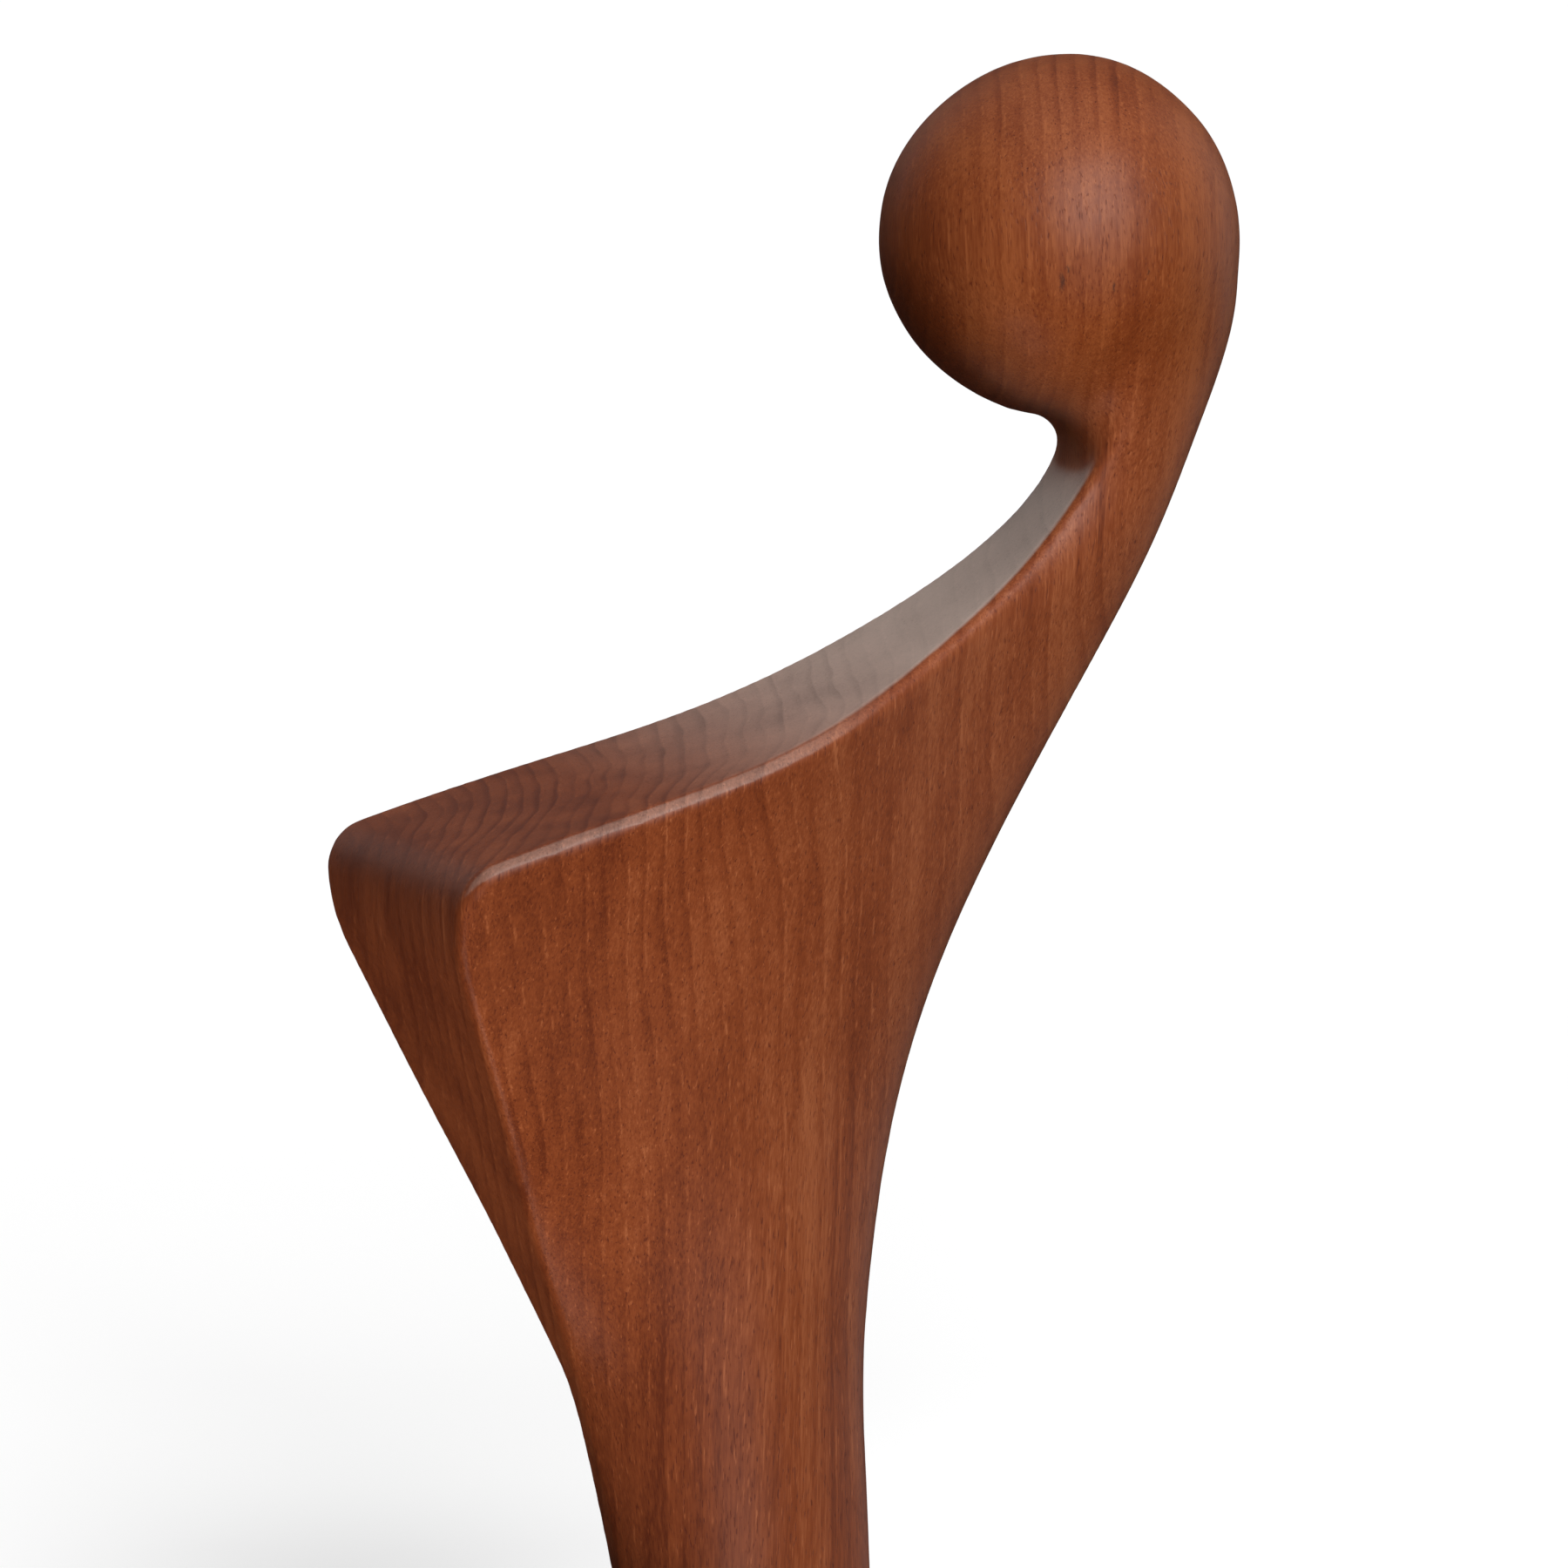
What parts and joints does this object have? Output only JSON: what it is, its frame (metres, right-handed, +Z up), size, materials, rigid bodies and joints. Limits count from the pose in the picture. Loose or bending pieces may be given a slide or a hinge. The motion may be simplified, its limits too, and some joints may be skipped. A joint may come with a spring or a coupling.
{
  "type": "headrest",
  "caption": "Carved hardwood headrest: a broad concave saddle tapers to a curved neck that ends in a ball, on a keeled stem wedged into an oval foot.",
  "frame": {"origin": "middle of the flat sole, under the stem", "axes": "+X along the saddle from the lip towards the ball, +Y across the saddle, +Z up"},
  "size_m": [0.1411, 0.098, 0.2816],
  "materials": {
    "head_wood": "satin oiled reddish-brown hardwood",
    "foot_wood": "satin oiled reddish-brown hardwood",
    "wedge_wood": "dark hardwood, planed flush",
    "pin_wood": "dark hardwood end grain, flush"
  },
  "bodies": {
    "root": {"carved_head": "head_wood", "foot": "foot_wood", "tenon_wedges": "wedge_wood", "locking_pin": "pin_wood"}
  },
  "joints": []
}
